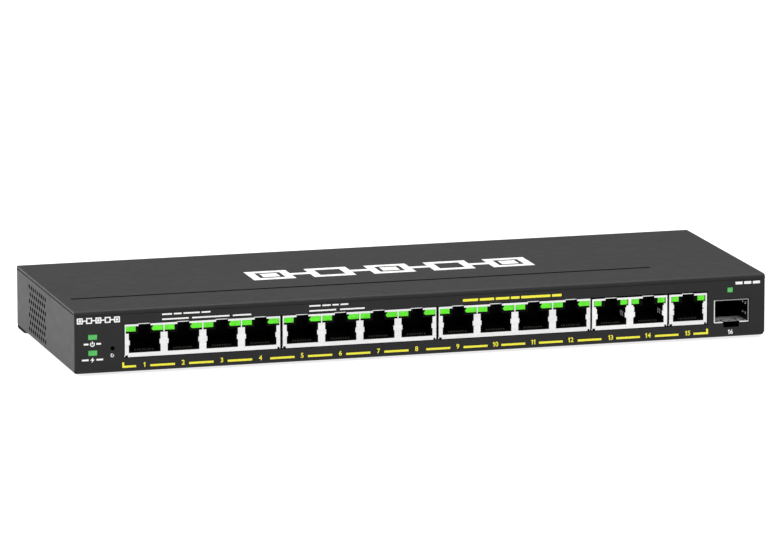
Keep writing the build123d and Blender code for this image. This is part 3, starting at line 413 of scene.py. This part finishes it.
def font_digit(digit, height):
    """A flat mesh of one digit of the built-in font, as tall as height, with its lower left at 0, 0.

    A nine is a six turned half round, because the font's own nine leaves a hole when it is filled.
    """
    curve = bpy.data.curves.new("digit", "FONT")
    curve.body = "6" if digit == "9" else digit
    curve.extrude = (INK_HEIGHT + INK_SINK) / 2
    curve.resolution_u = 6
    curve.offset = 0.02
    holder = bpy.data.objects.new("digit", curve)
    flat = bpy.data.meshes.new_from_object(holder)
    low = [min(v.co[axis] for v in flat.vertices) for axis in range(3)]
    high = [max(v.co[axis] for v in flat.vertices) for axis in range(3)]
    grow = height / (high[1] - low[1])
    thick = (INK_HEIGHT + INK_SINK) / (high[2] - low[2])
    flat.transform(Matrix.Diagonal((grow, grow, thick, 1.0)) @ Matrix.Translation(-Vector(low)))
    bpy.data.objects.remove(holder)
    bpy.data.curves.remove(curve)
    width = (high[0] - low[0]) * grow
    if digit == "9":
        flat.transform(Matrix.Translation((width, height, 0.0)) @ Matrix.Rotation(math.pi, 4, "Z"))
    return flat, width


def add_number(mesh, text, height, place):
    """Adds digits of that height in mm, centred on the origin of place."""
    one = [(0.16, 0.0), (0.36, 0.0), (0.36, 1.0), (0.2, 1.0), (0.0, 0.82), (0.0, 0.62), (0.16, 0.72)]
    one_width, gap = 0.36 * height, 0.15 * height
    glyphs = [None if digit == "1" else font_digit(digit, height) for digit in text]
    widths = [glyph[1] if glyph else one_width for glyph in glyphs]
    left = -(sum(widths) + gap * (len(text) - 1)) / 2
    for glyph, width in zip(glyphs, widths):
        if glyph:
            flat = glyph[0]
            flat.transform(place @ Matrix.Translation((left, -height / 2, -INK_SINK)))
            mesh.from_mesh(flat)
            bpy.data.meshes.remove(flat)
        else:
            outline = [(left + x * height, (y - 0.5) * height) for x, y in one]
            add_outline(mesh, outline, place)
        left += width + gap


def print_piece(name, finish, outlines, numbers=()):
    """One printed piece from (outline, place) pairs and (digits, height, place) triples."""
    mesh = bmesh.new()
    for outline, place in outlines:
        add_outline(mesh, outline, place)
    for text, height, place in numbers:
        add_number(mesh, text, height, place)
    bmesh.ops.remove_doubles(mesh, verts=mesh.verts, dist=0.0005 * MM)
    bmesh.ops.recalc_face_normals(mesh, faces=mesh.faces)
    data = bpy.data.meshes.new(name)
    mesh.to_mesh(data)
    mesh.free()
    data.materials.append(finish)
    piece = bpy.data.objects.new(name, data)
    bpy.context.scene.collection.objects.link(piece)
    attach(piece, "chassis")


def network_emblem(width, height, place):
    """A generic row of linked squares: a plain sign for a network, spelling nothing."""
    boxes = 5
    side = height
    gap = (width - boxes * side) / (boxes - 1)
    frame_width, link, core = 0.2 * side, 0.2 * side, 0.3 * side
    outlines = []
    for index in range(boxes):
        left = -width / 2 + index * (side + gap)
        right = left + side
        low, high = -side / 2, side / 2
        outlines += [
            bar(left, low, right, low + frame_width),
            bar(left, high - frame_width, right, high),
            bar(left, low + frame_width, left + frame_width, high - frame_width),
            bar(right - frame_width, low + frame_width, right, high - frame_width),
        ]
        if index % 2 == 0:
            outlines.append(bar(left + core, low + core, right - core, high - core))
        if index < boxes - 1:
            outlines.append(bar(right, -link / 2, right + gap, link / 2))
    return [(outline, place) for outline in outlines]


def dashes(words, left, bottom, height, gap):
    """A row of plain dashes in place of a line of small print, as long as its words."""
    outlines = []
    for length in words:
        outlines.append((bar(left, bottom, left + length, bottom + height), on_front(0.0, 0.0)))
        left += length + gap
    return outlines


def port_centres():
    """Middle of each copper jack, in mm from the left end."""
    centres = []
    for block, ports in BLOCK_PORTS.items():
        low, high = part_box(f"jack_shield_{block}")
        middle = ((low.x + high.x) / 2 - CHASSIS_LOW.x) / MM
        centres += [middle + (port - (ports - 1) / 2) * PORT_PITCH for port in range(ports)]
    return centres


def port_line():
    """The line under the jacks: a dash between each two numbers, and a bracket at each end."""
    thick, middle, dash = 0.85, 2.1, 10.0
    shift, shift_between_fours = -0.65, 0.3
    low, high, bracket_top = middle - thick / 2, middle + thick / 2, 3.9
    left_end, left_tip, left_stem = 19.3, 24.9, 0.8
    right_end, right_tip, right_stem = 262.4, 256.2, 0.85
    digit_height, digit_up, digit_shift = 1.95, 2.55, -0.15
    flat = on_front(0.0, 0.0)
    centres = port_centres()
    outlines = []
    for index, (here, after) in enumerate(zip(centres, centres[1:])):
        between_fours = index in (3, 7)
        start = (here + after - dash) / 2 + (shift_between_fours if between_fours else shift)
        outlines.append((bar(start, low, start + dash, high), flat))
    outlines += [
        (bar(left_end, low, left_tip, high), flat),
        (bar(left_end, high, left_end + left_stem, bracket_top), flat),
        (bar(right_tip, low, right_end, high), flat),
        (bar(right_end - right_stem, high, right_end, bracket_top), flat),
    ]
    places = [on_front(x + digit_shift, digit_up) for x in centres]
    numbers = [(str(port), digit_height, place) for port, place in enumerate(places, start=1)]
    return outlines, numbers


def power_sign(place):
    """The usual sign for power: an open ring with a stroke through its gap."""
    ring = arc(0.78, 0.4, 125, 415)
    return [(ring, place), (bar(-0.2, 0.05, 0.2, 1.15), place)]


def bolt_sign(place):
    """A plain lightning bolt, for the light of the powered ports."""
    bolt = [(0.35, 1.15), (-0.95, -0.2), (-0.15, -0.2), (-0.4, -1.15), (0.9, 0.25), (0.1, 0.25)]
    return [(bolt[::-1], place)]


def reset_sign(place):
    """A plain round arrow, for the reset pinhole."""
    ring = arc(0.55, 0.28, 130, 410)
    head = [(-0.624, 0.743), (-0.084, 0.099), (0.106, 0.807)]
    return [(ring, place), (head, place)]


def status_marks():
    """Signs under the two status lights and beside the reset pinhole, with a short dash at each side."""
    across, clear, half, flat = 7.3, 1.6, 0.35, on_front(0.0, 0.0)
    outlines = power_sign(on_front(across, 11.8)) + bolt_sign(on_front(across, 5.5))
    outlines += reset_sign(on_front(15.3, 6.9))
    for up, reach in ((11.9, 3.5), (5.55, 4.3)):
        outlines.append((bar(across - reach, up - half, across - clear, up + half), flat))
        outlines.append((bar(across + clear, up - half, across + reach, up + half), flat))
    return outlines


def make_prints():
    """The white and yellow marks of the front panel, and the emblem on the cover, in mm."""
    white = network_emblem(17.4, 2.4, on_front(9.8, 21.3))
    white += status_marks()
    first_note, second_note = 35.6, 95.7
    upper_row, lower_row, small = 22.0, 20.0, 0.6
    white += dashes((4.0, 3.2, 6.6, 3.6), first_note, upper_row, small, 0.75)
    white += dashes((10.8, 15.2, 7.5), first_note, lower_row, small, 1.4)
    white += dashes((4.6, 3.4, 2.6, 3.2), second_note, upper_row, small, 0.75)
    white += dashes((11.0, 10.2), second_note, lower_row, small, 1.6)
    white += dashes((3.0, 3.0, 3.0), 273.9, 21.4, 1.1, 0.7)
    print_piece("front_print_white", WHITE_INK, white, [("16", 1.85, on_front(271.9, 2.08))])
    yellow, numbers = port_line()
    yellow += dashes((6.3, 6.0, 5.6, 3.6, 12.2, 4.0), 159.2, 20.6, 1.0, 0.7)
    print_piece("front_print_yellow", YELLOW_INK, yellow, numbers)
    print_piece("top_emblem", WHITE_INK, network_emblem(118.0, 17.5, on_top(143.75, 48.75)))


# ================================================================ floor, lights and camera
def make_floor():
    """A plain pale floor under the feet."""
    made = Finish("pale_floor", Specular_IOR_Level=0.1)
    tint = made.colour(made.noise(0.4), (0.40, 0.40, 0.40), (0.42, 0.42, 0.42))
    made.join(tint, made.shader, "Emission Color")
    made.shader.inputs["Emission Strength"].default_value = 1.95
    made.roughness(made.noise(0.2), 0.85, 0.95)
    mesh = bmesh.new()
    bmesh.ops.create_grid(mesh, x_segments=8, y_segments=8, size=6.0)
    data = bpy.data.meshes.new("floor")
    mesh.to_mesh(data)
    mesh.free()
    data.materials.append(made.material)
    floor = bpy.data.objects.new("floor", data)
    floor.location.z = min(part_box(name)[0].z for name in NODES if name.startswith("rubber_foot"))
    bpy.context.scene.collection.objects.link(floor)


def make_world(strength):
    """Even white light from all around."""
    world = bpy.data.worlds.new("studio")
    world.use_nodes = True
    sky = world.node_tree.nodes["Background"]
    sky.inputs["Color"].default_value = (1.0, 1.0, 1.0, 1.0)
    sky.inputs["Strength"].default_value = strength
    bpy.context.scene.world = world


def soft_light(name, place, size, watts):
    """A large rectangular area light that faces the object."""
    data = bpy.data.lights.new(name, "AREA")
    data.shape = "RECTANGLE"
    data.size, data.size_y = size
    data.energy = watts
    lamp = bpy.data.objects.new(name, data)
    lamp.location = place
    lamp.rotation_mode = "QUATERNION"
    lamp.rotation_quaternion = (-Vector(place)).to_track_quat("-Z", "Y")
    bpy.context.scene.collection.objects.link(lamp)


def make_camera():
    """A long lens from the front left, a little above the object."""
    data = bpy.data.cameras.new("camera")
    data.lens = CAMERA_LENS
    data.sensor_width = 36.0
    camera = bpy.data.objects.new("camera", data)
    camera.location = CAMERA_PLACE
    camera.rotation_mode = "QUATERNION"
    camera.rotation_quaternion = Vector(CAMERA_AIM).to_track_quat("-Z", "Y")
    bpy.context.scene.collection.objects.link(camera)
    bpy.context.scene.camera = camera


def main():
    """Sets up the camera, lights and floor, then finishes the nodes and adds the prints."""
    make_camera()
    make_world(0.38)
    soft_light("left_light", (-1.6, 0.3, 0.55), (1.2, 0.9), 43.0)
    soft_light("top_light", (0.3, 0.1, 1.8), (1.6, 0.7), 15.0)
    soft_light("back_light", (0.3, 1.3, 1.3), (1.6, 0.8), 3.0)
    soft_light("front_light", (0.5, -1.3, 1.2), (1.2, 0.6), 7.3)
    make_floor()
    dress_nodes()
    soften([f"jack_housing_{block}" for block in BLOCK_PORTS], 0.12 * MM)
    soften([f"jack_lights_{block}" for block in BLOCK_PORTS], 0.15 * MM)
    soften(["power_light_pipe", "poe_light_pipe", "sfp_light_pipe"], 0.2 * MM)
    make_prints()
    bpy.context.scene.view_settings.view_transform = "Standard"


main()
